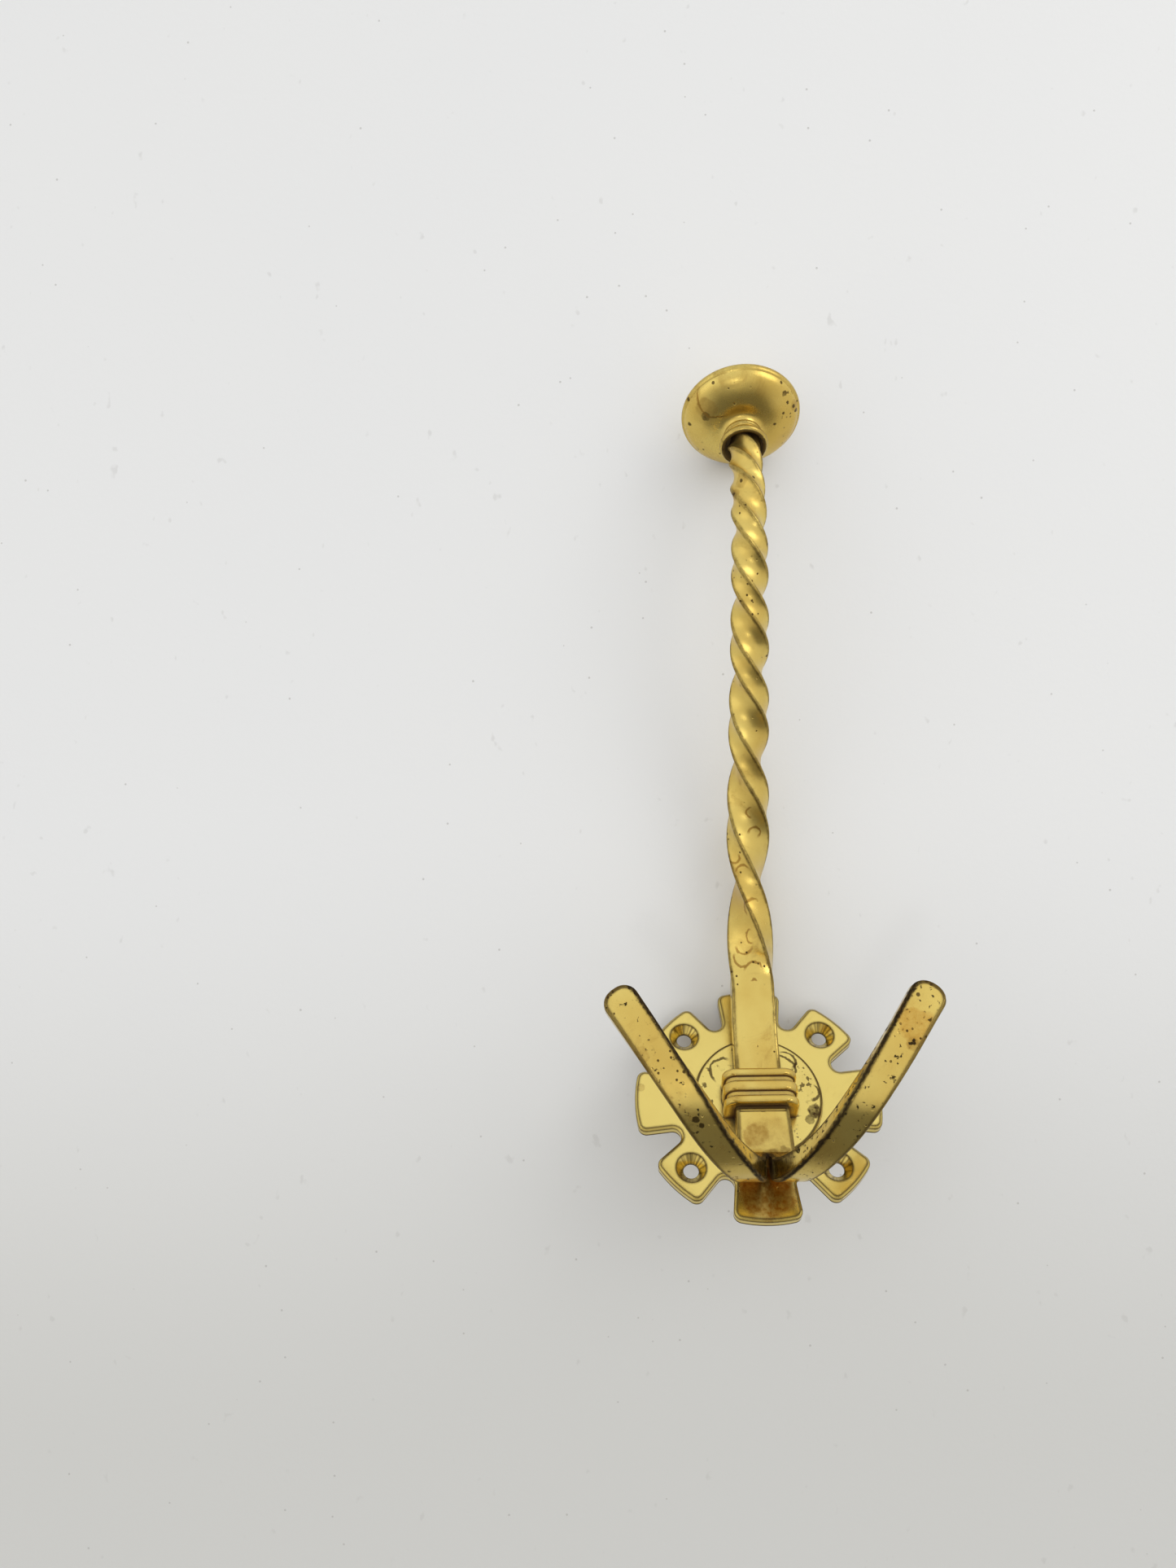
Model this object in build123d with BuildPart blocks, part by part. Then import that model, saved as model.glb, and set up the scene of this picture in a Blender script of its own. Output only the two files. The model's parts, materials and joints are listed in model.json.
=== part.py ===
# Wall-mounted coat-and-hat hook in brass.
# Frame: origin at the centre of the rosette on the wall plane, +X to the right,
# +Z up, and the hook stands out from the wall towards -Y. Lengths in millimetres.

import os
from math import cos, radians, sin, tan

from build123d import *

os.makedirs("parts", exist_ok=True)

# ---------------------------------------------------------------- rosette
PLATE_RADIUS = 38.4
PLATE_THICK = 3.5
PLATE_BEVEL = 0.8
LOBE_CORNER_R = 2.6
SLOT_END_R = 2.7           # round inner end of the notch between two lobes
SLOT_END_AT = 29.6         # distance of that round end from the centre
SLOT_FLARE = 17.0          # each flank of the notch opens by this angle, degrees
SLOT_FROM_CROSS = 23.7     # notches sit this far either side of the upright cross, degrees
BOSS_RADIUS = 19.7
BOSS_RISE = 1.8
BOSS_FOOT_R = 0.5
BOSS_EDGE_R = 0.3

# wall screws, countersunk from the front
WALL_SCREW_PCD = 62.0
WALL_SCREW_HOLE_R = 2.35
WALL_SCREW_SINK_R = 4.6

# ---------------------------------------------------------------- collar
COLLAR_WIDTH = 22.8
COLLAR_LENGTH = 11.4       # along the bar
COLLAR_MIDDLE_UP = -1.5
COLLAR_FRONT = 16.4        # front of its ridges, from the wall
COLLAR_CORNER_R = 4.4
RIDGE_RISE = 1.0
RIDGE_EDGE_R = 0.9
NARROW_RIDGE = 2.6
WIDE_RIDGE = 3.4

# ---------------------------------------------------------------- bar
BAR_WIDTH = 14.1
BAR_THICK = 7.6
BAR_CLEAR = 0.1            # between the bar and the inside of the collar
BAR_CORNER_R = 0.9
BAR_BACK = PLATE_THICK + BOSS_RISE
BAR_MIDDLE = BAR_BACK + BAR_THICK / 2

# stem: rises from the collar, swings out from the wall and ends almost upright in the knob
STEM_START_UP = 5.0
STEM_COURSE = (            # height and distance from the wall
    (30.0, 15.9),
    (60.0, 35.5),
    (90.0, 74.5),
    (120.0, 117.5),
    (138.0, 131.6),
    (150.0, 135.1),
)
TWIST_START = 30.0         # length of the plain stem below the twist
TWIST_RATE = 2.2           # degrees per mm where the twist begins
TWIST_GAIN = 0.0215        # it tightens on the way up, degrees per mm squared
TWIST_SURGE = 0.000015     # and faster towards the top, degrees per mm cubed
STEM_TWIST_WIDTH = 13.4    # width where the twist begins
STEM_END_WIDTH = 8.2
STEM_THICK = 7.8           # thickness of the twisted stem
STEM_CORNER_R = 0.5        # corners where the twist begins
STEM_END_CORNER_R = 1.3    # corners at the top
STEM_STEP = 2.4            # spacing of the stem's sections

# prongs: each is half of the slit bar, bent forward and up
PRONG_COURSE = (           # sideways, height, distance from the wall
    (4.15, -16.0, 9.5),
    (4.2, -23.0, 10.4),
    (5.2, -27.9, 15.8),
    (13.0, -28.8, 30.4),
    (23.3, -21.3, 45.4),
    (32.7, -10.0, 53.6),
    (44.0, 5.9, 59.8),
)
LEFT_SPREAD = -1.0         # the left prong runs to the other side
RIGHT_SPREAD = 1.025       # the right one is bent a little wider
PRONG_ROOT_WIDTH = 8.0
PRONG_TIP_WIDTH = 10.4
PRONG_ROOT_THICK = 8.4
PRONG_TIP_THICK = 5.6
PRONG_TIP_R = 4.2          # rounding of the tip, seen on its broad face
PRONG_STEP = 4.0           # spacing of the prong's sections
WEB_LENGTH = 18.0          # metal left whole between the prongs, down to the bend
SHOULDER_UP = -7.3         # the bar thickens just below the collar
SLIT_WIDTH = 1.8
SLIT_TOP_UP = -23.5
BEAD_R = 0.8
BEAD_UP = -8.5

# ---------------------------------------------------------------- knob
KNOB_RADIUS = 18.9
KNOB_LEAN = 6.0            # its axis leans out from upright by this, degrees
KNOB_RIM_UP = 171.3        # centre of the rim
KNOB_RIM_AWAY = 137.4
KNOB_DOME = 4.0            # the face stands this far past the rim
NECK_LENGTH = 16.4         # from the rim down to the mouth of the socket
SOCKET_MOUTH_R = 6.2
SOCKET_FLOOR_R = 5.2
SOCKET_DEPTH = 4.0
SPIGOT_R = 3.0
SPIGOT_LENGTH = 8.5
SPIGOT_CLEAR = 0.04

# ---------------------------------------------------------------- back screws
SCREW_R = 1.5
SCREW_HEAD_R = 2.9
SCREW_LENGTH = 10.6
SCREW_SINK = 0.2           # heads lie this far under the wall plane
SCREW_SLOT = 0.7
THREAD_CLEAR = 0.02
SCREW_X = (BAR_WIDTH / 2 + BAR_CLEAR + COLLAR_WIDTH / 2) / 2


def spot(sideways, up, away):
    """A point from its distance to the right, its height and its distance from the wall."""
    return Vector(sideways, -away, up)


def between(start, end, share):
    return start + (end - start) * share


BACK = Plane(origin=(0, 0, 0), x_dir=(-1, 0, 0), z_dir=(0, 1, 0))   # the wall side
FRONT = Plane.XZ                                                    # faces into the room
SCREW_SPOTS = [(x, COLLAR_MIDDLE_UP) for x in (-SCREW_X, 0.0, SCREW_X)]
COLLAR_LOW = COLLAR_MIDDLE_UP - COLLAR_LENGTH / 2
COLLAR_TOP = COLLAR_MIDDLE_UP + COLLAR_LENGTH / 2

# ================================================================ base plate
flank_start = SLOT_END_AT - SLOT_END_R * sin(radians(SLOT_FLARE))
flank_half = SLOT_END_R * cos(radians(SLOT_FLARE))
mouth_at = PLATE_RADIUS + 2
mouth_half = flank_half + (mouth_at - flank_start) * tan(radians(SLOT_FLARE))

with BuildPart() as base_plate:
    with BuildSketch(FRONT) as rosette:
        Circle(PLATE_RADIUS)
        for first_slot in (SLOT_FROM_CROSS, -SLOT_FROM_CROSS):
            with PolarLocations(0, 4, start_angle=first_slot):
                Polygon(
                    (flank_start, -flank_half),
                    (mouth_at, -mouth_half),
                    (mouth_at, mouth_half),
                    (flank_start, flank_half),
                    align=None,
                    mode=Mode.SUBTRACT,
                )
            with PolarLocations(SLOT_END_AT, 4, start_angle=first_slot):
                Circle(SLOT_END_R, mode=Mode.SUBTRACT)
        lobe_corners = rosette.vertices().filter_by(
            lambda corner: Vector(corner.X, corner.Y).length > PLATE_RADIUS - 0.1
        )
        fillet(lobe_corners, LOBE_CORNER_R)
    extrude(amount=PLATE_THICK)
    chamfer(base_plate.edges().group_by(Axis.Y)[0], PLATE_BEVEL)
    with BuildSketch(FRONT.offset(PLATE_THICK)):
        Circle(BOSS_RADIUS)
    extrude(amount=BOSS_RISE)
    boss_circles = base_plate.edges().filter_by(
        lambda edge: edge.geom_type == GeomType.CIRCLE and abs(edge.radius - BOSS_RADIUS) < 0.01
    )
    fillet(boss_circles.sort_by(Axis.Y)[-1], BOSS_FOOT_R)
    fillet(base_plate.edges().group_by(Axis.Y)[0], BOSS_EDGE_R)
    with Locations(FRONT.offset(PLATE_THICK)):
        with PolarLocations(WALL_SCREW_PCD / 2, 4, start_angle=45):
            CounterSinkHole(WALL_SCREW_HOLE_R, WALL_SCREW_SINK_R)
    with Locations(BACK):
        with Locations(*SCREW_SPOTS):
            CounterSinkHole(SCREW_R + 0.2, SCREW_HEAD_R + SCREW_SINK + 0.05)
base_plate.part.label = "base_plate"
export_step(base_plate.part, "parts/base_plate.step")

# ================================================================ collar
ridge_parts = []
end_ridge_at = (COLLAR_LENGTH - NARROW_RIDGE) / 2
for middle, length in (
    (-end_ridge_at, NARROW_RIDGE),
    (0.0, WIDE_RIDGE),
    (end_ridge_at, NARROW_RIDGE),
):
    with BuildPart() as ridge:
        with BuildSketch(Plane.XY.offset(COLLAR_MIDDLE_UP + middle - length / 2)) as ridge_outline:
            with Locations((0, -BAR_BACK)):
                Rectangle(
                    COLLAR_WIDTH, COLLAR_FRONT - BAR_BACK, align=(Align.CENTER, Align.MAX)
                )
            fillet(ridge_outline.vertices().group_by(Axis.Y)[0], COLLAR_CORNER_R)
        extrude(amount=length)
        rims = ridge.edges().filter_by(
            lambda edge: edge.center().Y < -BAR_BACK - 0.1
            and abs(edge.tangent_at(0).Z) < 0.01
        )
        fillet(rims, RIDGE_EDGE_R)
    ridge_parts.append(ridge.part)

with BuildPart() as collar:
    with BuildSketch(Plane.XY.offset(COLLAR_LOW + RIDGE_EDGE_R)) as band_outline:
        with Locations((0, -BAR_BACK)):
            Rectangle(
                COLLAR_WIDTH - 2 * RIDGE_RISE,
                COLLAR_FRONT - RIDGE_RISE - BAR_BACK,
                align=(Align.CENTER, Align.MAX),
            )
        fillet(band_outline.vertices().group_by(Axis.Y)[0], COLLAR_CORNER_R - RIDGE_RISE)
    extrude(amount=COLLAR_LENGTH - 2 * RIDGE_EDGE_R)
    for ridge_part in ridge_parts:
        add(ridge_part)
    with BuildSketch(Plane.XY.offset(COLLAR_LOW - 1)) as opening:
        with Locations((0, -BAR_BACK + 1)):
            Rectangle(
                BAR_WIDTH + 2 * BAR_CLEAR,
                BAR_THICK + BAR_CLEAR + 1,
                align=(Align.CENTER, Align.MAX),
            )
        fillet(opening.vertices().group_by(Axis.Y)[0], BAR_CORNER_R)
    extrude(amount=COLLAR_LENGTH + 2, mode=Mode.SUBTRACT)
    with Locations(BACK.offset(-BAR_BACK)):
        with Locations(SCREW_SPOTS[0], SCREW_SPOTS[2]):
            Hole(SCREW_R + THREAD_CLEAR, depth=SCREW_LENGTH + 2 * SCREW_SINK - BAR_BACK)
collar.part.label = "collar"
export_step(collar.part, "parts/collar.step")

# ================================================================ hook bar
knob_axis = spot(0, cos(radians(KNOB_LEAN)), sin(radians(KNOB_LEAN)))
knob_centre = spot(0, KNOB_RIM_UP, KNOB_RIM_AWAY)
stem_end = knob_centre - knob_axis * (NECK_LENGTH - SOCKET_DEPTH + SPIGOT_CLEAR)
stem_line = Edge.make_spline(
    [spot(0, STEM_START_UP, BAR_MIDDLE)]
    + [spot(0, up, away) for up, away in STEM_COURSE]
    + [stem_end],
    tangents=[Vector(0, 0, 1), knob_axis],
)
stem_length = stem_line.length
stem_steps = round(stem_length / STEM_STEP)
stem_sections = []
for step in range(stem_steps + 1):
    along = stem_length * step / stem_steps
    here = stem_line.position_at(along, position_mode=PositionMode.LENGTH)
    direction = stem_line.tangent_at(along, position_mode=PositionMode.LENGTH)
    if along < TWIST_START:
        share = along / TWIST_START
        width = between(BAR_WIDTH, STEM_TWIST_WIDTH, share)
        thick = between(BAR_THICK, STEM_THICK, share)
        corner = between(BAR_CORNER_R, STEM_CORNER_R, share)
        twist = 0.0
    else:
        run = along - TWIST_START
        share = run / (stem_length - TWIST_START)
        width = between(STEM_TWIST_WIDTH, STEM_END_WIDTH, share)
        thick = STEM_THICK
        corner = between(STEM_CORNER_R, STEM_END_CORNER_R, share)
        twist = TWIST_RATE * run + TWIST_GAIN * run**2 + TWIST_SURGE * run**3
    across = Vector(1, 0, 0).rotate(Axis((0, 0, 0), direction), -twist)
    with BuildSketch(Plane(origin=here, x_dir=across, z_dir=direction)) as stem_section:
        RectangleRounded(width, thick, corner)
    stem_sections.append(stem_section.sketch)

with BuildPart() as stem:
    add(stem_sections)
    loft()


def prong_course(spread):
    """The middle line of one prong, or of the web between the prongs if the spread is 0."""
    root = spot(spread * (PRONG_ROOT_WIDTH / 2 - 0.05), SHOULDER_UP, BAR_BACK + PRONG_ROOT_THICK / 2)
    return Edge.make_spline(
        [root] + [spot(spread * sideways, up, away) for sideways, up, away in PRONG_COURSE],
        tangents=[Vector(0, 0, -1), spot(spread * 10.7, 15.0, 5.6)],
    )


def strip_loft(course, stops):
    """A loft along a prong's course. Each stop is a distance along it and a loss of half width."""
    sections = []
    for along, narrowing in stops:
        share = along / course.length
        here = course.position_at(along, position_mode=PositionMode.LENGTH)
        direction = course.tangent_at(along, position_mode=PositionMode.LENGTH)
        across = (Vector(1, 0, 0) - direction * direction.X).normalized()
        width = between(PRONG_ROOT_WIDTH, PRONG_TIP_WIDTH, share) - 2 * narrowing
        thick = between(PRONG_ROOT_THICK, PRONG_TIP_THICK, min(1.0, 2.2 * share))
        with BuildSketch(Plane(origin=here, x_dir=across, z_dir=direction)) as outline:
            RectangleRounded(width, thick, BAR_CORNER_R)
        sections.append(outline.sketch)
    with BuildPart() as strip:
        add(sections)
        loft()
    return strip.part


def prong_lofts(spread):
    """One prong, as the loft of its length and the loft of its rounded tip."""
    course = prong_course(spread)
    tip_start = course.length - PRONG_TIP_R
    steps = round(tip_start / PRONG_STEP)
    shank_stops = [(tip_start * step / steps, 0.0) for step in range(steps + 1)]
    tip_stops = []
    for angle in range(0, 91, 15):
        reach = PRONG_TIP_R * sin(radians(angle))
        narrowing = PRONG_TIP_R * (1 - cos(radians(angle)))
        tip_stops.append((tip_start + reach, narrowing))
    return [strip_loft(course, shank_stops), strip_loft(course, tip_stops)]


with BuildPart() as hook_bar:
    with BuildSketch(Plane.XY.offset(SHOULDER_UP - 4)) as flat_section:
        with Locations((0, -BAR_MIDDLE)):
            RectangleRounded(BAR_WIDTH, BAR_THICK, BAR_CORNER_R)
    extrude(amount=STEM_START_UP - SHOULDER_UP + 4)
    add(stem.part)
    add(prong_lofts(LEFT_SPREAD))
    add(prong_lofts(RIGHT_SPREAD))
    add(strip_loft(prong_course(0.0), [(WEB_LENGTH * step / 5, 0.0) for step in range(6)]))
    with Locations((0, -BAR_BACK - PRONG_ROOT_THICK + BEAD_R * 0.7, BEAD_UP)):
        Cylinder(BEAD_R, BAR_WIDTH, rotation=(0, 90, 0))
    with BuildSketch(FRONT) as slit:
        with Locations((0, SLIT_TOP_UP - SLIT_WIDTH / 2)):
            Circle(SLIT_WIDTH / 2)
            Rectangle(SLIT_WIDTH, 30, align=(Align.CENTER, Align.MAX))
    extrude(amount=60, mode=Mode.SUBTRACT)
    with Locations(Plane(origin=stem_end, x_dir=(1, 0, 0), z_dir=knob_axis)):
        Cylinder(SPIGOT_R, 2 * SPIGOT_LENGTH)
    with Locations(BACK.offset(-BAR_BACK)):
        with Locations(SCREW_SPOTS[1]):
            Hole(SCREW_R + THREAD_CLEAR, depth=SCREW_LENGTH + 2 * SCREW_SINK - BAR_BACK)
hook_bar.part.label = "hook_bar"
export_step(hook_bar.part, "parts/hook_bar.step")

# ================================================================ hat knob
mouth = -NECK_LENGTH
floor = mouth + SOCKET_DEPTH
knob_plane = Plane(origin=knob_centre, x_dir=(1, 0, 0), z_dir=Vector(1, 0, 0).cross(knob_axis))
with BuildPart() as hat_knob:
    with BuildSketch(knob_plane):
        with BuildLine():
            # domed face and rounded rim
            dome = ThreePointArc((0, KNOB_DOME), (9.6, 3.2), (KNOB_RADIUS - 0.9, 0.9))
            rim = ThreePointArc(dome @ 1, (KNOB_RADIUS, -0.3), (KNOB_RADIUS - 0.8, -1.9))
            # bowl-shaped underside, running into the neck
            bowl = Spline(
                rim @ 1,
                (15.2, -5.0),
                (9.4, -7.5),
                (5.4, -9.5),
                tangents=((-0.35, -1), (-0.25, -1)),
            )
            bead = ThreePointArc(bowl @ 1, (6.0, -10.3), (5.5, -11.3))
            cove = ThreePointArc(bead @ 1, (5.6, -12.8), (6.8, -13.9))
            band = ThreePointArc(cove @ 1, (7.6, -14.9), (7.1, mouth + 0.4))
            Polyline(
                band @ 1,
                (6.7, mouth),
                (SOCKET_MOUTH_R, mouth),
                (SOCKET_MOUTH_R - 0.3, mouth + 2.2),
                (SOCKET_FLOOR_R, floor - 0.3),
                (SOCKET_FLOOR_R, floor),
                (SPIGOT_R + SPIGOT_CLEAR, floor),
                (SPIGOT_R + SPIGOT_CLEAR, floor + SPIGOT_LENGTH + 0.5),
                (0, floor + SPIGOT_LENGTH + 0.5),
                (0, KNOB_DOME),
            )
        make_face()
    revolve(axis=Axis(knob_centre, knob_axis))
hat_knob.part.label = "hat_knob"
export_step(hat_knob.part, "parts/hat_knob.step")

# ================================================================ back screws
with BuildPart() as back_screws:
    for number, (sideways, up) in enumerate(SCREW_SPOTS):
        with Locations(BACK.offset(-SCREW_SINK)):
            with Locations((-sideways, up)):
                Cylinder(SCREW_R, SCREW_LENGTH, align=(Align.CENTER, Align.CENTER, Align.MAX))
                Cone(
                    SCREW_R,
                    SCREW_HEAD_R,
                    SCREW_HEAD_R - SCREW_R,
                    align=(Align.CENTER, Align.CENTER, Align.MAX),
                )
                Box(
                    2 * SCREW_HEAD_R + 1,
                    SCREW_SLOT,
                    SCREW_SLOT,
                    rotation=(0, 0, 20 + 55 * number),
                    align=(Align.CENTER, Align.CENTER, Align.MAX),
                    mode=Mode.SUBTRACT,
                )
back_screws.part.label = "back_screws"
export_step(back_screws.part, "parts/back_screws.step")
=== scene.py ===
import json
import math

import bpy
from mathutils import Euler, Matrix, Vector


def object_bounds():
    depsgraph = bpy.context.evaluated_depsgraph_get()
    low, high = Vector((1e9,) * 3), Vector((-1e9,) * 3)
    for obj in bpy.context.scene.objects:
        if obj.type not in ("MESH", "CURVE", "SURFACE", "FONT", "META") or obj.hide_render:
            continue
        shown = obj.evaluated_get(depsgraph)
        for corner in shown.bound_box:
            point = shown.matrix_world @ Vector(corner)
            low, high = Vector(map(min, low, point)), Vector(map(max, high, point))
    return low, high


# The looks of the brass coat-and-hat hook: old polished brass, lying on a pale table under
# soft light. Metres, in the frame of the CAD model: +X to the right, +Z up, and the hook
# stands out from the wall towards -Y.
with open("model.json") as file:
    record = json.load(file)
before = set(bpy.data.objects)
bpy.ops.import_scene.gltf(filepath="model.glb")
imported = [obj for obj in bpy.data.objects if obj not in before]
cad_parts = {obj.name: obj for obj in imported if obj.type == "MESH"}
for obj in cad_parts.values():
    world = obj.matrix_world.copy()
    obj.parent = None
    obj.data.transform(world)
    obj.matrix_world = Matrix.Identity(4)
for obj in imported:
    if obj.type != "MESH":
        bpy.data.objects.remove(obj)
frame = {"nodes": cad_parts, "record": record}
cad_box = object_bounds()
nodes = frame["nodes"]

# ---------------------------------------------------------------- camera and table
CAMERA_AT = Vector((-0.0400, -0.3483, -0.1661))
CAMERA_TURN = (130.76, -0.23, 2.07)      # Euler XYZ, degrees
CAMERA_LENS = 27.05                      # mm, on a sensor 36 mm along its long side
TABLE_SIZE = 6.0
TABLE_GAP = 0.0002                       # between the table and the brass that rests on it
TABLE_LEAN = (20, 70)                    # degrees between which the table's lean is sought
PLATE_FACE = -0.0035                     # where the front of the rosette's lobes lies

# ---------------------------------------------------------------- light
# A lamp has its place from the middle of the hook, along the table's up, right and normal,
# then the side of its square, its watts and its colour.
LAMPS = {
    "window": ((0.75, 1.05, 0.95), 0.9, 4.5, (1.0, 0.99, 0.97)),
    "ceiling_lamp": ((-0.35, -0.25, 1.6), 0.18, 0.80, (1.0, 1.0, 1.0)),
    "far_wall": ((0.3, -1.3, 0.8), 1.0, 1.0, (0.98, 0.99, 1.0)),
}
WALL_NEAR, WALL_FAR = 0.75, 0.96         # brightness of the room, below and beyond the table
PERSON_SHARE = 0.24                      # how bright somebody leaning over is, next to the wall
SOFT_GAIN = 1.2                          # the room lights dull surfaces this much more
WARM, COOL = (1.0, 0.97, 0.92), (0.97, 0.99, 1.03)    # tints of the near and the far wall
BACKDROP = (0.78, 0.785, 0.79, 1)        # what the camera sees where there is no table

# ---------------------------------------------------------------- colours, linear
GOLD_LIGHT = (0.82, 0.645, 0.190)
GOLD_DEEP = (0.66, 0.455, 0.105)
STAIN = (0.34, 0.185, 0.035)
# painted reflection: the amber of the bar's underside, mirrored in the rosette's bottom lobe
AMBER_REFLECTION = (0.30, 0.115, 0.006)
TAN = (0.46, 0.245, 0.040)
# dark grime for pits, spots and patches; in the corners these grime colours also paint shade (red
# on the collar, pale on the knob)
DARK_GRIME_AND_SHADE = (0.050, 0.026, 0.010)
RED_GRIME_AND_SHADE = (0.085, 0.030, 0.012)
PALE_GRIME_AND_SHADE = (0.30, 0.205, 0.105)
RAW_BACK = (0.40, 0.265, 0.085)
EDGE_BROWN = (0.060, 0.033, 0.012)
SCALE_BLACK = (0.022, 0.014, 0.008)
ZINC_DARK, ZINC_LIGHT = (0.36, 0.35, 0.33), (0.56, 0.55, 0.52)
RUST = (0.20, 0.085, 0.03)
PAINT_COOL, PAINT_WARM = (0.760, 0.768, 0.772), (0.790, 0.792, 0.780)
PAINTED_TABLE_SHADE = (0.605, 0.605, 0.582)
PAINT_SCRATCH = (0.42, 0.41, 0.39)
PAINT_SPECK = (0.30, 0.28, 0.26)

# ---------------------------------------------------------------- sizes of marks and relief
CLOUD = 0.028                            # drift from the light gold to the deep one
HAZE = 0.009                             # clouding of the polish
FINE = 0.0016                            # mottling inside a stain
CORNER = 0.0035                          # how far grime reaches out of a corner
INNER_EDGE = 0.0015                      # width of the rough edges along the prongs
SCAR_WIDTH = 0.0005
SINK_RADIUS = 0.0048                     # how far the streaks reach round a screw hole
PITS = ((0.0017, 0.24), (0.0042, 0.13))  # size of a cell, and the pit's radius in cells
WAVES = (0.013, 0.00016)                 # size and depth of the waves left by polishing
CAST_SKIN = (0.0011, 0.00022)
GRAIN = (0.0024, 0.000016)
SCRATCH_DEPTH = 0.000006
PIT_DEPTH = 0.00014

# What a brass has unless its own call says otherwise. Shares and strengths go from 0 up.
USUAL_LOOK = {
    "deep": 0.3,           # share of the deeper gold
    "stains": 0.3,         # strength of the scattered brown stains
    "pits": 0.04,          # share of the cells that hold a pit
    "spots": (),           # placed pits, as (centre, radius)
    "chipped": (),         # crowds of small dents, as (centre, inner radius, outer radius)
    "sinks": (),           # centres of the screw holes
    "rough": 0.17,
    "dull_above": 1.0,     # height above which the polish is duller
    "edge": 0.0009,        # width of the dark line along an edge: grime with a painted dark reflection
    "line": 1.5,           # strength of that line above the rosette's centre
    "line_low": 1.5,       # and below it
    "rim": 0.0,            # strength of the painted shade line round the front of a plate
    "inner_edges": 0.0,    # black on the prongs' edges that face each other
    "dirt": DARK_GRIME_AND_SHADE,         # what fills the corners: grime, with painted shade
    "grime_from": 0.74,    # openness at which the grime and painted shade start to fill a corner
    "scar_tint": STAIN,
    "raw_back": 0.0,       # share of the dull cast skin on a face turned to the wall
}

# ---------------------------------------------------------------- marks on the brass
# Patches are (centre, radius, strength, colour); scars are (centre, radius of the arc, open side).
PLATE_PATCHES = (
    ((0.0168, -0.0053, -0.0050), 0.0025, 1.0, DARK_GRIME_AND_SHADE),
    ((0.0152, -0.0053, -0.0078), 0.0017, 0.9, DARK_GRIME_AND_SHADE),
    ((-0.0366, -0.0035, 0.0043), 0.0016, 0.4, STAIN),
    # painted reflection: the bar's amber underside mirrored in the bottom lobe
    ((0.0, -0.0035, -0.0295), 0.0095, 1.0, AMBER_REFLECTION),
)
BAR_PATCHES = (
    ((0.0384, -0.0580, -0.0050), 0.0054, 0.80, TAN),
    ((0.0372, -0.0560, -0.0100), 0.0022, 0.75, STAIN),
    ((-0.0368, -0.0550, -0.0115), 0.0028, 0.45, STAIN),
    ((-0.0355, -0.0530, -0.0150), 0.0014, 0.6, STAIN),
    ((-0.0220, -0.0430, -0.0230), 0.0032, 0.4, STAIN),
    ((-0.0030, -0.0137, -0.0165), 0.0042, 0.75, STAIN),
    ((0.0010, -0.0142, -0.0232), 0.0032, 0.7, DARK_GRIME_AND_SHADE),
    ((-0.0055, -0.0142, -0.0222), 0.0018, 0.5, DARK_GRIME_AND_SHADE),
    ((0.0055, -0.0142, -0.0215), 0.0022, 0.6, DARK_GRIME_AND_SHADE),
    ((0.0004, -0.0238, -0.0286), 0.0068, 0.9, DARK_GRIME_AND_SHADE),
    ((0.0010, -0.0134, -0.0185), 0.0090, 0.45, STAIN),
    ((-0.0022, -0.1354, 0.1383), 0.0026, 0.45, STAIN),
    ((-0.0047, -0.1330, 0.1347), 0.0022, 0.6, STAIN),
)
BAR_SPOTS = (
    ((0.0372, -0.0607, 0.0029), 0.0006),
    ((0.0427, -0.0627, 0.0057), 0.0005),
    ((0.0439, -0.0624, 0.0048), 0.0005),
    ((0.0400, -0.0615, 0.0024), 0.0006),
    ((0.0339, -0.0594, -0.0032), 0.0007),
    ((0.0330, -0.0588, -0.0045), 0.0006),
    ((0.0376, -0.0568, -0.0100), 0.0007),
    ((-0.0221, -0.0446, -0.0256), 0.0012),
    ((-0.0206, -0.0429, -0.0267), 0.0009),
    ((-0.0022, -0.1354, 0.1383), 0.0006),
    ((0.0015, -0.1364, 0.1384), 0.0006),
    ((-0.0031, -0.1303, 0.1289), 0.0005),
    ((-0.0047, -0.1330, 0.1347), 0.0008),
)
BOSS_CHIPS = (((0.0, -0.0053, 0.0), 0.0115, 0.0195),)
PLATE_SCARS = (
    ((0.0080, -0.0053, 0.0092), 0.0043, (-1, 0, -1)),
    ((0.0095, -0.0053, 0.0118), 0.0032, (-1, 0, -0.6)),
    ((0.0165, -0.0053, 0.0010), 0.0024, (-1, 0, 0.3)),
    ((-0.0100, -0.0053, 0.0085), 0.0046, (1, 0, -0.6)),
)
STEM_SCARS = (
    ((-0.0030, -0.0240, 0.0385), 0.0026, (1, 0, 1)),
    ((0.0006, -0.0222, 0.0345), 0.0030, (0, 0, -1)),
    ((-0.0021, -0.0264, 0.0422), 0.0030, (0.3, 0, 1)),
    ((0.0005, -0.0291, 0.0435), 0.0022, (1, 0, 0.2)),
    ((0.0008, -0.0355, 0.0500), 0.0030, (1, 0, -1)),
    ((-0.0020, -0.0423, 0.0590), 0.0024, (0, 0, -1)),
    ((-0.0047, -0.0442, 0.0640), 0.0022, (0, 0, 1)),
    ((0.0010, -0.0560, 0.0730), 0.0020, (1, 0, 0)),
    ((0.0020, -0.0507, 0.0680), 0.0024, (0, 0, -1)),
    ((0.0004, -0.0210, 0.0315), 0.0009, (0, 0, -1)),
)
KNOB_PATCHES = (
    ((-0.0112, -0.1440, 0.1648), 0.0040, 0.5, STAIN),
    ((-0.0116, -0.1414, 0.1644), 0.0017, 0.8, DARK_GRIME_AND_SHADE),
    ((0.0164, -0.1425, 0.1674), 0.0020, 0.5, STAIN),
    ((0.0128, -0.1475, 0.1660), 0.0011, 0.9, DARK_GRIME_AND_SHADE),
)
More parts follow.
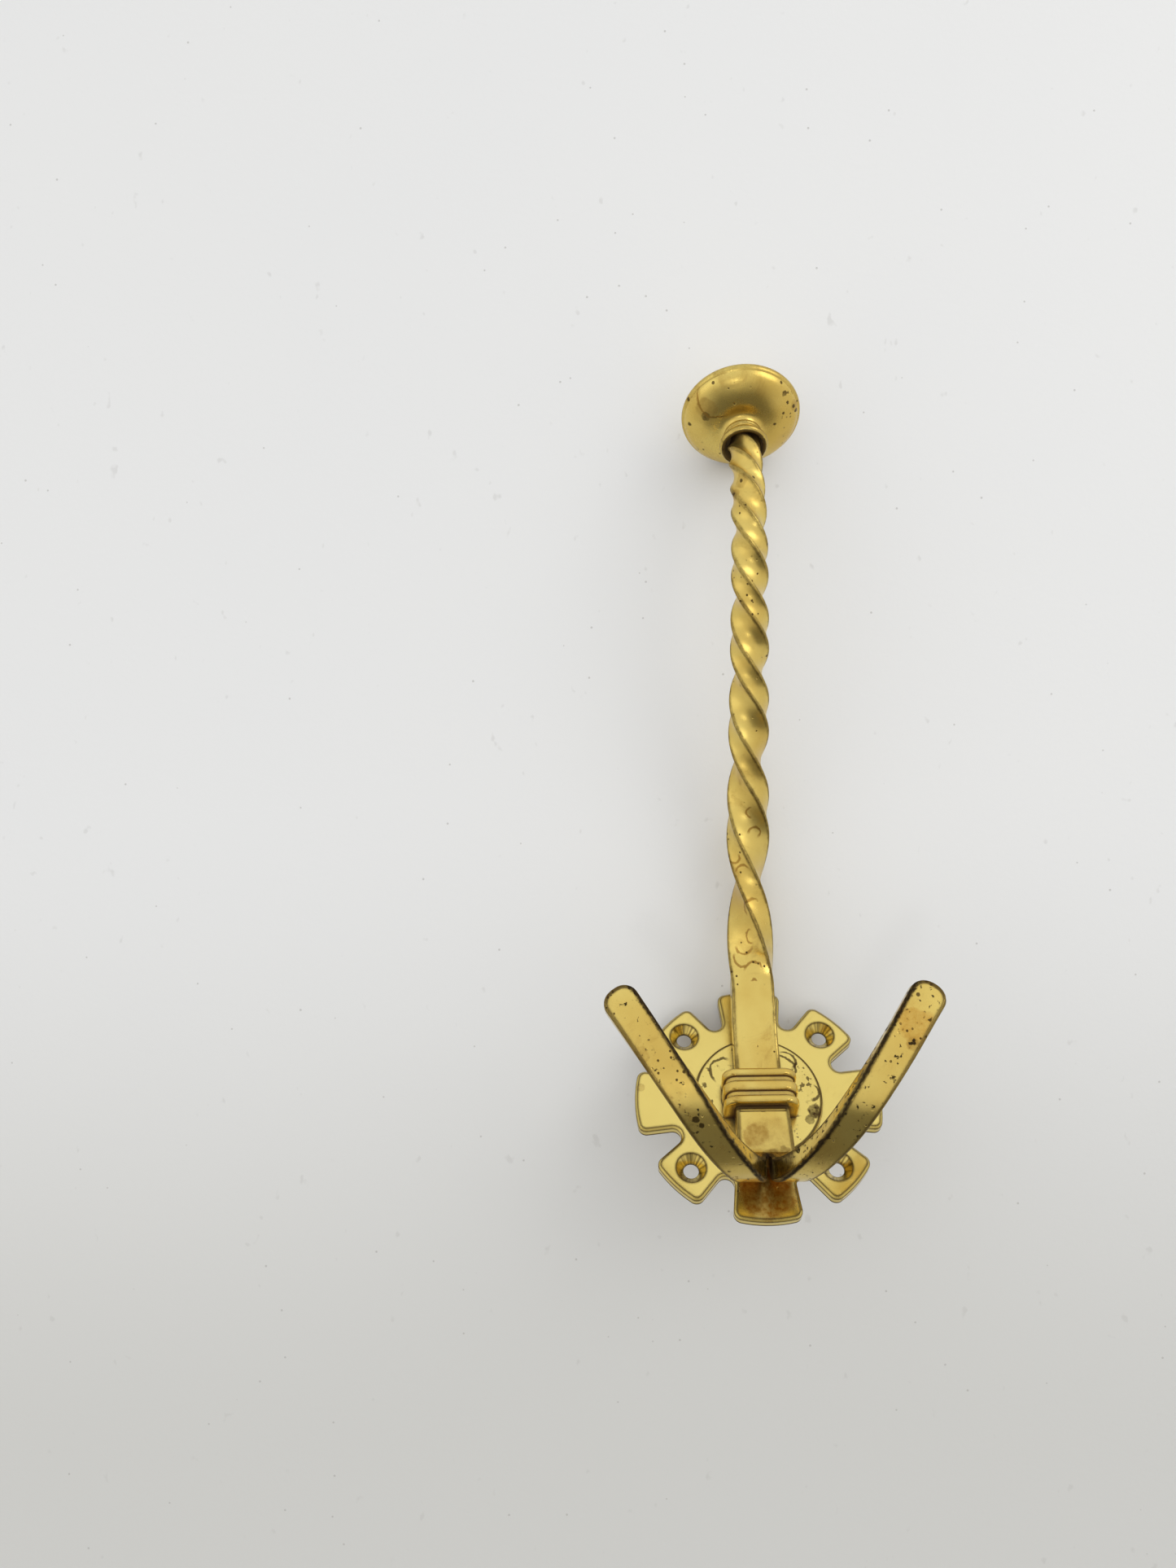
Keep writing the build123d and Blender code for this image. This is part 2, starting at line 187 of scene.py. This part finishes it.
KNOB_SPOTS = (
    ((0.0138, -0.1446, 0.1660), 0.0005),
    ((0.0128, -0.1414, 0.1649), 0.0005),
    ((0.0161, -0.1424, 0.1672), 0.0007),
    ((0.0103, -0.1383, 0.1639), 0.0005),
    ((0.0172, -0.1405, 0.1679), 0.0008),
    ((-0.0164, -0.1371, 0.1672), 0.0007),
    ((-0.0096, -0.1516, 0.1668), 0.0006),
    ((-0.0170, -0.1448, 0.1691), 0.0008),
    ((0.0116, -0.1506, 0.1674), 0.0006),
    ((0.0139, -0.1474, 0.1670), 0.0005),
)
KNOB_SCARS = (((-0.0086, -0.1476, 0.1648), 0.0062, (1, -0.65, 0.76)),)


class Graph:
    """Short calls that add nodes to one material or world."""

    def __init__(self, tree):
        self.tree = tree
        tree.nodes.clear()

    def add(self, kind, inputs=(), output=0, **settings):
        node = self.tree.nodes.new(kind)
        for name, value in settings.items():
            setattr(node, name, value)
        for socket, value in dict(inputs).items():
            if isinstance(value, bpy.types.NodeSocket):
                self.tree.links.new(value, node.inputs[socket])
            else:
                node.inputs[socket].default_value = value
        return node.outputs[output] if node.outputs else node

    def math(self, operation, *values):
        return self.add("ShaderNodeMath", enumerate(values), operation=operation)

    def vector(self, operation, *values, output="Vector"):
        return self.add(
            "ShaderNodeVectorMath", enumerate(values), output=output, operation=operation
        )

    def product(self, *values):
        total = values[0]
        for value in values[1:]:
            total = self.math("MULTIPLY", total, value)
        return total

    def most(self, *values):
        total = values[0]
        for value in values[1:]:
            total = self.math("MAXIMUM", total, value)
        return total

    def inverse(self, value):
        return self.math("SUBTRACT", 1.0, value)

    def ramp(self, value, start, end):
        """0 before start, 1 after end, with a smooth step between them."""
        return self.add(
            "ShaderNodeMapRange",
            {"Value": value, "From Min": start, "From Max": end},
            interpolation_type="SMOOTHSTEP",
        )

    def scaled(self, value, low, high):
        """A value from 0 to 1, taken to the range from low to high."""
        return self.add("ShaderNodeMapRange", {"Value": value, "To Min": low, "To Max": high})

    def colour(self, share, low, high):
        """A mix of two colours. Sockets 6 and 7 of the node take them, and output 2 gives one."""
        low, high = (c if isinstance(c, bpy.types.NodeSocket) else (*c, 1) for c in (low, high))
        return self.add(
            "ShaderNodeMix", {0: share, 6: low, 7: high}, output=2, data_type="RGBA"
        )

    def places(self):
        return self.add("ShaderNodeTexCoord", output="Object")

    def axis(self, where, name):
        return self.add("ShaderNodeSeparateXYZ", {0: where}, output=name)

    def dot(self, a, b):
        return self.vector("DOT_PRODUCT", a, b, output="Value")

    def distance(self, where, centre):
        return self.vector("DISTANCE", where, centre, output="Value")

    def stretched(self, where, turn, stretch):
        return self.add(
            "ShaderNodeMapping",
            {"Vector": where, "Rotation": Vector(map(math.radians, turn)), "Scale": stretch},
        )

    def noise(self, where, size, detail=4.0, rough=0.55, distortion=0.0):
        """Cloudy noise around 0.5, with features of about that size in metres."""
        return self.add(
            "ShaderNodeTexNoise",
            {
                "Vector": where,
                "Scale": 1 / size,
                "Detail": detail,
                "Roughness": rough,
                "Distortion": distortion,
            },
        )

    def dots(self, where, size, radius, share):
        """Round dots in this share of the cells of that size. The radius is in cell sizes."""
        cells = {"Vector": where, "Scale": 1 / size}
        nearness = self.ramp(self.add("ShaderNodeTexVoronoi", cells), radius, radius * 0.6)
        lot = self.add("ShaderNodeTexVoronoi", cells, output="Color")
        number = self.add("ShaderNodeSeparateColor", {0: lot})
        return self.product(nearness, self.math("LESS_THAN", number, share))

    def bump(self, height, depth, under=None):
        inputs = {"Height": height, "Distance": depth, "Strength": 1.0}
        if under is not None:
            inputs["Normal"] = under
        return self.add("ShaderNodeBump", inputs)

    def blotch(self, where, centre, radius, ragged=0.5):
        """A ragged patch round a point, 1 inside and 0 outside."""
        away = self.math("DIVIDE", self.distance(where, centre), radius)
        wander = self.scaled(self.noise(where, radius * 0.9, detail=5), -ragged, ragged)
        return self.ramp(self.math("ADD", away, wander), 1.0, 0.72)

    def spot(self, where, centre, radius, wander):
        """A small pit whose outline wanders with a noise that all pits share."""
        away = self.math("DIVIDE", self.distance(where, centre), radius)
        return self.ramp(self.math("ADD", away, self.scaled(wander, -0.9, 0.9)), 1.0, 0.7)

    def chips(self, where, centre, inner, outer):
        """Small dents crowded in a ring round a point."""
        away = self.distance(where, centre)
        beyond_inner = self.ramp(away, inner, inner * 1.2)
        within_outer = self.ramp(away, outer, outer * 0.9)
        ring = self.product(beyond_inner, within_outer)
        crowd = self.ramp(self.noise(where, 0.008, detail=2), 0.44, 0.56)
        dents = self.ramp(self.noise(where, 0.0021, detail=2), 0.585, 0.63)
        return self.product(dents, ring, crowd)

    def streaks(self, where, hole):
        """Dark streaks that run down the sink of a screw hole."""
        flat = self.vector("MULTIPLY", self.vector("SUBTRACT", where, hole), (1, 0, 1))
        ray = self.vector("NORMALIZE", flat)
        inside = self.ramp(self.distance(where, hole), SINK_RADIUS, SINK_RADIUS * 0.94)
        return self.product(self.ramp(self.noise(ray, 0.30, detail=3), 0.47, 0.62), inside)

    def scar(self, where, centre, radius, open_side):
        """A thin scratched arc round a point, broken off towards its open side."""
        wander = self.scaled(self.noise(where, 0.003, detail=3), -0.0011, 0.0011)
        away = self.math("ADD", self.distance(where, centre), wander)
        off = self.math("ABSOLUTE", self.math("SUBTRACT", away, radius))
        offset = self.vector("SUBTRACT", where, centre)
        kept = self.ramp(self.dot(offset, Vector(open_side).normalized()), 0.0, -radius * 0.5)
        return self.product(self.ramp(off, SCAR_WIDTH, SCAR_WIDTH * 0.4), kept)


def new_material(name):
    material = bpy.data.materials.new(name)
    material.use_nodes = True
    return material, Graph(material.node_tree)


def gold(g, where, haze, share):
    """The bare metal, drifting between a light gold and a deeper one."""
    drift = g.math("ADD", g.noise(where, CLOUD, detail=3), g.scaled(haze, -0.2, 0.2))
    deep = g.product(g.ramp(drift, 0.25, 0.75), share)
    return g.colour(g.math("ADD", deep, share * 0.35), GOLD_LIGHT, GOLD_DEEP)


def stained(g, where, fine, worked, colour, patches, scattered):
    """Thin brown stains, thicker where the placed patches are; a placed patch can also be a
    painted reflection. Gives the colour and the stain.
    """
    loose = g.noise(where, 0.010, detail=7, rough=0.68, distortion=0.8)
    mottle = g.scaled(g.ramp(fine, 0.3, 0.7), 0.5, 1.0)
    stain = g.product(g.ramp(loose, 0.53, 0.70), scattered, mottle)
    colour = g.colour(g.product(stain, 0.85), colour, STAIN)
    for centre, radius, strength, tint in patches:
        patch = g.product(g.blotch(where, centre, radius), mottle, worked, strength)
        colour = g.colour(patch, colour, tint)
        stain = g.most(stain, patch)
    return colour, stain


def scratched(g, where, fine, worked, colour, scars, look):
    """Scars, placed pits, crowds of dents and the streaks in the sinks of the screw holes."""
    for centre, radius, open_side in scars:
        scratch = g.product(g.scar(where, centre, radius, open_side), worked, 0.85)
        colour = g.colour(scratch, colour, look["scar_tint"])
    for centre, radius in look["spots"]:
        spot = g.product(g.spot(where, centre, radius, fine), 0.85)
        colour = g.colour(spot, colour, DARK_GRIME_AND_SHADE)
    for centre, inner, outer in look["chipped"]:
        dents = g.product(g.chips(where, centre, inner, outer), worked, 0.8)
        colour = g.colour(dents, colour, DARK_GRIME_AND_SHADE)
    for hole in look["sinks"]:
        colour = g.colour(g.product(g.streaks(where, hole), 0.60), colour, DARK_GRIME_AND_SHADE)
    return colour


def corner_shade_and_grime(g, haze, start):
    """Painted shade with grime in the corners: 1 deep in a corner, 0 on open faces."""
    openness = g.add("ShaderNodeAmbientOcclusion", {"Distance": CORNER}, output="AO", samples=8)
    return g.ramp(g.math("ADD", openness, g.scaled(haze, -0.2, 0.2)), start, start - 0.46)


def edge_line(g, where, outward, look):
    """A thin broken dark line along each edge, partly grime and partly a painted dark reflection,
    and a painted shade line round the front of a plate where its face turns away.
    """
    buried = g.add(
        "ShaderNodeAmbientOcclusion",
        {"Distance": look["edge"]},
        output="AO",
        samples=8,
        inside=True,
        only_local=True,
    )
    ragged = g.scaled(g.noise(where, 0.0020, detail=4, rough=0.7), 0.2, 1.8)
    lowness = g.ramp(g.axis(where, "Z"), 0.012, 0.0)
    ragged = g.product(ragged, g.scaled(lowness, look["line"], look["line_low"]))
    line = g.ramp(g.product(g.inverse(buried), ragged), 0.07, 0.20)
    # painted shade: a broken band darkened where the plate's front starts to turn away
    turning = g.product(g.ramp(outward, 0.985, 0.965), g.ramp(outward, 0.80, 0.86), look["rim"])
    return g.most(line, g.product(turning, g.ramp(ragged, 0.9, 1.5)))


def inner_edges(g, where, strength):
    """The edges of the prongs that face each other, left rough and black down to the slit."""
    rounded = g.add("ShaderNodeBevel", {"Radius": INNER_EDGE}, samples=6)
    side = g.math("SIGN", g.axis(where, "X"))
    inward = g.product(g.dot(rounded, (1, 0, 0)), side, -1.0)
    inward = g.math("ADD", inward, g.scaled(g.noise(where, 0.0016, detail=4), -0.45, 0.45))
    edge = g.product(g.ramp(inward, 0.10, 0.16), g.ramp(inward, 0.82, 0.70))
    below_collar = g.ramp(g.axis(where, "Z"), 0.014, 0.010)
    before_plate = g.ramp(g.axis(where, "Y"), -0.014, -0.020)
    return g.product(edge, g.product(below_collar, before_plate), strength)


def casting_pits(g, where, share):
    """Small and large pits, in loose groups."""
    pit = g.most(*(g.dots(where, size, radius, share) for size, radius in PITS))
    return g.product(pit, g.ramp(g.noise(where, 0.018, detail=2), 0.46, 0.56))


def polishing(g, where, haze):
    """Faint scratches in two directions."""
    lines = []
    for turn, stretch in (((20, 0, 35), (1, 0.02, 1)), ((0, 65, -20), (0.02, 1, 1))):
        along = g.noise(g.stretched(where, turn, stretch), 0.0007, detail=2, rough=0.5)
        lines.append(g.ramp(along, 0.60, 0.72))
    return g.product(g.most(*lines), g.ramp(haze, 0.42, 0.62), 0.5)


def brass_relief(g, where, raw, rubbed, pit):
    """Waves, cast skin, grain, scratches and pits, as one bent normal."""
    size, depth = WAVES
    normal = g.bump(g.noise(where, size, detail=1.5), depth)
    size, depth = CAST_SKIN
    normal = g.bump(g.product(g.noise(where, size, detail=4), raw), depth, normal)
    size, depth = GRAIN
    normal = g.bump(g.noise(where, size, detail=3), depth, normal)
    normal = g.bump(g.inverse(rubbed), SCRATCH_DEPTH, normal)
    return g.bump(g.inverse(pit), PIT_DEPTH, normal)


def brass(name, patches=(), scars=(), **look):
    """Old polished brass with its stains, pits, scars, dark edge lines (grime with a painted dark
    reflection) and corners darkened by grime and painted shade.
    """
    look = {**USUAL_LOOK, **look}
    material, g = new_material(name)
    where = g.places()
    haze = g.noise(where, HAZE, detail=6, rough=0.6)
    fine = g.noise(where, FINE, detail=5, rough=0.65)

    # a face turned to the wall can be left as cast: dull, darker and without marks of use
    outward = g.dot(g.add("ShaderNodeNewGeometry", output="Normal"), (0, -1, 0))
    raw = g.product(g.ramp(outward, -0.80, -0.95), look["raw_back"])
    worked = g.inverse(raw)

    grime = corner_shade_and_grime(g, haze, look["grime_from"])
    line = edge_line(g, where, outward, look)
    scale = inner_edges(g, where, look["inner_edges"])
    pit = casting_pits(g, where, look["pits"])
    rubbed = polishing(g, where, haze)

    colour = gold(g, where, haze, look["deep"])
    colour = g.colour(g.product(raw, g.scaled(haze, 0.5, 1.0)), colour, RAW_BACK)
    colour, stain = stained(g, where, fine, worked, colour, patches, look["stains"])
    colour = scratched(g, where, fine, worked, colour, scars, look)
    # dark edge lines: grime with a painted dark reflection, and painted shade round the plate's
    # front
    colour = g.colour(g.product(line, 0.9), colour, EDGE_BROWN)
    colour = g.colour(scale, colour, SCALE_BLACK)
    # painted shade and grime filling the corners
    colour = g.colour(grime, colour, look["dirt"])
    colour = g.colour(g.product(pit, 0.85), colour, DARK_GRIME_AND_SHADE)

    dull = g.scaled(g.ramp(haze, 0.3, 0.75), look["rough"], look["rough"] + 0.08)
    matt = g.ramp(g.axis(where, "Z"), look["dull_above"], look["dull_above"] + 0.02)
    dull = g.math("ADD", dull, g.product(matt, 0.13))
    dull = g.math("ADD", dull, g.product(raw, 0.30))
    dull = g.math("ADD", dull, g.product(stain, 0.16))
    dull = g.most(dull, g.product(g.most(grime, pit, line, scale), 0.55))
    dull = g.math("ADD", dull, g.product(rubbed, 0.08))
    shader = g.add(
        "ShaderNodeBsdfPrincipled",
        {
            "Base Color": colour,
            "Metallic": g.inverse(g.product(grime, 0.7)),
            "Roughness": dull,
            "Normal": brass_relief(g, where, raw, rubbed, pit),
        },
    )
    g.add("ShaderNodeOutputMaterial", {0: shader})
    return material


def steel(name):
    """Dull zinc-plated steel with a little rust, for the screws behind the plate."""
    material, g = new_material(name)
    where = g.places()
    patchy = g.noise(where, 0.004, detail=6, rough=0.65)
    turned = g.noise(g.stretched(where, (0, 0, 0), (1, 0.1, 1)), 0.0006, detail=2)
    rust = g.ramp(patchy, 0.56, 0.68)
    colour = g.colour(g.ramp(patchy, 0.3, 0.6), ZINC_DARK, ZINC_LIGHT)
    colour = g.colour(g.product(rust, 0.8), colour, RUST)
    shader = g.add(
        "ShaderNodeBsdfPrincipled",
        {
            "Base Color": colour,
            "Metallic": g.scaled(rust, 1.0, 0.3),
            "Roughness": g.scaled(patchy, 0.28, 0.62),
            "Normal": g.bump(turned, 0.00003),
        },
    )
    g.add("ShaderNodeOutputMaterial", {0: shader})
    return material


def table_top(name, up):
    """Pale painted board with faint mottling and painted shade towards its lower end. Its back
    isn't drawn, so it hides nothing.
    """
    material, g = new_material(name)
    where = g.places()
    cloud = g.noise(where, 0.25, detail=5, rough=0.6)
    speck = g.dots(where, 0.0085, 0.055, 0.6)
    drawn = g.noise(g.stretched(where, (0, 0, 35), (1, 0.02, 1)), 0.005, detail=2)
    colour = g.colour(cloud, PAINT_COOL, PAINT_WARM)
    # painted shade: the board darker towards its lower end, where somebody leaning over shades it
    colour = g.colour(g.ramp(g.dot(where, up), 0.10, -0.13), colour, PAINTED_TABLE_SHADE)
    colour = g.colour(g.product(g.ramp(drawn, 0.70, 0.78), 0.25), colour, PAINT_SCRATCH)
    colour = g.colour(g.product(speck, 0.45), colour, PAINT_SPECK)
    shader = g.add(
        "ShaderNodeBsdfPrincipled",
        {
            "Base Color": colour,
            "Roughness": g.scaled(cloud, 0.45, 0.6),
            "Normal": g.bump(g.noise(where, 0.002, detail=3), 0.00004),
        },
    )
    back = g.add("ShaderNodeNewGeometry", output="Backfacing")
    clear = g.add("ShaderNodeBsdfTransparent")
    shown = g.add("ShaderNodeMixShader", {0: back, 1: shader, 2: clear})
    g.add("ShaderNodeOutputMaterial", {0: shown})
    return material


def farthest(node, direction):
    """How far a CAD node reaches in a direction."""
    return max(vertex.co.dot(direction) for vertex in nodes[node].data.vertices)


def resting_normal():
    """The table's normal, towards the room, when the rosette's edge and the knob both touch it."""
    lean_low, lean_high = map(math.radians, TABLE_LEAN)
    for _ in range(40):
        lean = (lean_low + lean_high) / 2
        normal = Vector((0, -math.cos(lean), -math.sin(lean)))
        if farthest("hat_knob", -normal) > farthest("base_plate", -normal):
            lean_high = lean
        else:
            lean_low = lean
    return normal


def add_table(normal):
    reach = farthest("base_plate", -normal) + TABLE_GAP
    middle = (cad_box[0] + cad_box[1]) / 2
    middle -= normal * (middle.dot(normal) + reach)
    up = Vector((0, normal.z, -normal.y)).normalized()
    right = Vector((1, 0, 0))
    half = TABLE_SIZE / 2
    signs = ((-1, -1), (1, -1), (1, 1), (-1, 1))
    corners = [middle + right * half * x + up * half * y for x, y in signs]
    mesh = bpy.data.meshes.new("table")
    mesh.from_pydata(corners, [], [(0, 1, 2, 3)])
    mesh.update()
    if mesh.polygons[0].normal.dot(normal) < 0:
        mesh.flip_normals()
    table = bpy.data.objects.new("table", mesh)
    bpy.context.scene.collection.objects.link(table)
    table.data.materials.append(table_top("table_top", up))
    return up, right


def add_lamp(name, at, target, side, power, colour):
    data = bpy.data.lights.new(name, "AREA")
    data.shape = "SQUARE"
    data.size = side
    data.energy = power
    data.color = colour
    lamp = bpy.data.objects.new(name, data)
    lamp.location = at
    lamp.rotation_euler = (target - at).to_track_quat("-Z", "Y").to_euler()
    bpy.context.scene.collection.objects.link(lamp)


def add_lamps(normal, up, right):
    centre = (cad_box[0] + cad_box[1]) / 2
    for name, (place, side, power, colour) in LAMPS.items():
        at = centre + up * place[0] + right * place[1] + normal * place[2]
        add_lamp(name, at, centre, side, power, colour)


def add_room(up, right):
    """A pale room: bright beyond the top of the table, dark where somebody leans over it."""
    world = bpy.data.worlds.new("room")
    world.use_nodes = True
    bpy.context.scene.world = world
    g = Graph(world.node_tree)
    direction = g.add("ShaderNodeTexCoord", output="Generated")
    ahead = g.dot(direction, up)
    side = g.math("ABSOLUTE", g.dot(direction, right))
    wall = g.scaled(g.ramp(ahead, -0.7, 0.7), WALL_NEAR, WALL_FAR)
    person = g.product(g.ramp(ahead, -0.34, -0.62), g.ramp(side, 0.85, 0.40))
    wall = g.product(wall, g.scaled(person, 1.0, PERSON_SHARE))
    soft = g.add("ShaderNodeLightPath", output="Is Diffuse Ray")
    wall = g.product(wall, g.scaled(soft, 1.0, SOFT_GAIN))
    shade = g.colour(g.ramp(ahead, -0.5, 0.8), WARM, COOL)
    room = g.add("ShaderNodeBackground", {0: shade, 1: wall})
    plain = g.add("ShaderNodeBackground", {0: BACKDROP, 1: 1.0})
    seen = g.add("ShaderNodeLightPath", output="Is Camera Ray")
    shown = g.add("ShaderNodeMixShader", {0: seen, 1: room, 2: plain})
    g.add("ShaderNodeOutputWorld", {0: shown})


def add_camera():
    data = bpy.data.cameras.new("camera")
    data.lens = CAMERA_LENS
    data.sensor_width = 36
    data.sensor_fit = "AUTO"
    data.clip_start, data.clip_end = 0.01, 50
    camera = bpy.data.objects.new("camera", data)
    camera.location = CAMERA_AT
    camera.rotation_euler = Euler(map(math.radians, CAMERA_TURN))
    bpy.context.scene.collection.objects.link(camera)
    bpy.context.scene.camera = camera


def screw_holes():
    """Where the wall screws go through the front of the rosette."""
    mount = next(m for m in frame["record"]["mounts"] if m["name"] == "wall_screws")
    reach = mount["dims"]["pcd_mm"] / 2000
    turns = [math.radians(45 + 90 * step) for step in range(mount["dims"]["count"])]
    return [(reach * math.cos(turn), PLATE_FACE, reach * math.sin(turn)) for turn in turns]


def paint(node, material):
    for place in nodes[node].material_slots:
        place.material = material


bpy.context.scene.view_settings.view_transform = "Standard"
add_camera()
table_normal = resting_normal()
table_up, table_right = add_table(table_normal)
add_room(table_up, table_right)
add_lamps(table_normal, table_up, table_right)

plate_brass = brass(
    "plate_brass",
    PLATE_PATCHES,
    PLATE_SCARS,
    deep=0.15,
    stains=0.15,
    pits=0.05,
    rim=0.9,
    line=2.2,
    line_low=2.2,
    raw_back=1.0,
    scar_tint=DARK_GRIME_AND_SHADE,
    chipped=BOSS_CHIPS,
    sinks=screw_holes(),
)
collar_brass = brass(
    "collar_brass", deep=0.8, stains=0.7, edge=0.0005, grime_from=0.90, dirt=RED_GRIME_AND_SHADE
)
bar_brass = brass(
    "bar_brass",
    BAR_PATCHES,
    STEM_SCARS,
    deep=0.75,
    stains=0.55,
    inner_edges=0.95,
    spots=BAR_SPOTS,
    pits=0.26,
    edge=0.0014,
    line=1.0,
    line_low=2.6,
    dull_above=0.04,
)
knob_brass = brass(
    "knob_brass",
    KNOB_PATCHES,
    KNOB_SCARS,
    deep=0.75,
    stains=0.5,
    spots=KNOB_SPOTS,
    pits=0.30,
    edge=0.0009,
    rough=0.24,
    dirt=PALE_GRIME_AND_SHADE,
)
paint("base_plate", plate_brass)
paint("collar", collar_brass)
paint("hook_bar", bar_brass)
paint("hat_knob", knob_brass)
paint("back_screws", steel("screw_steel"))
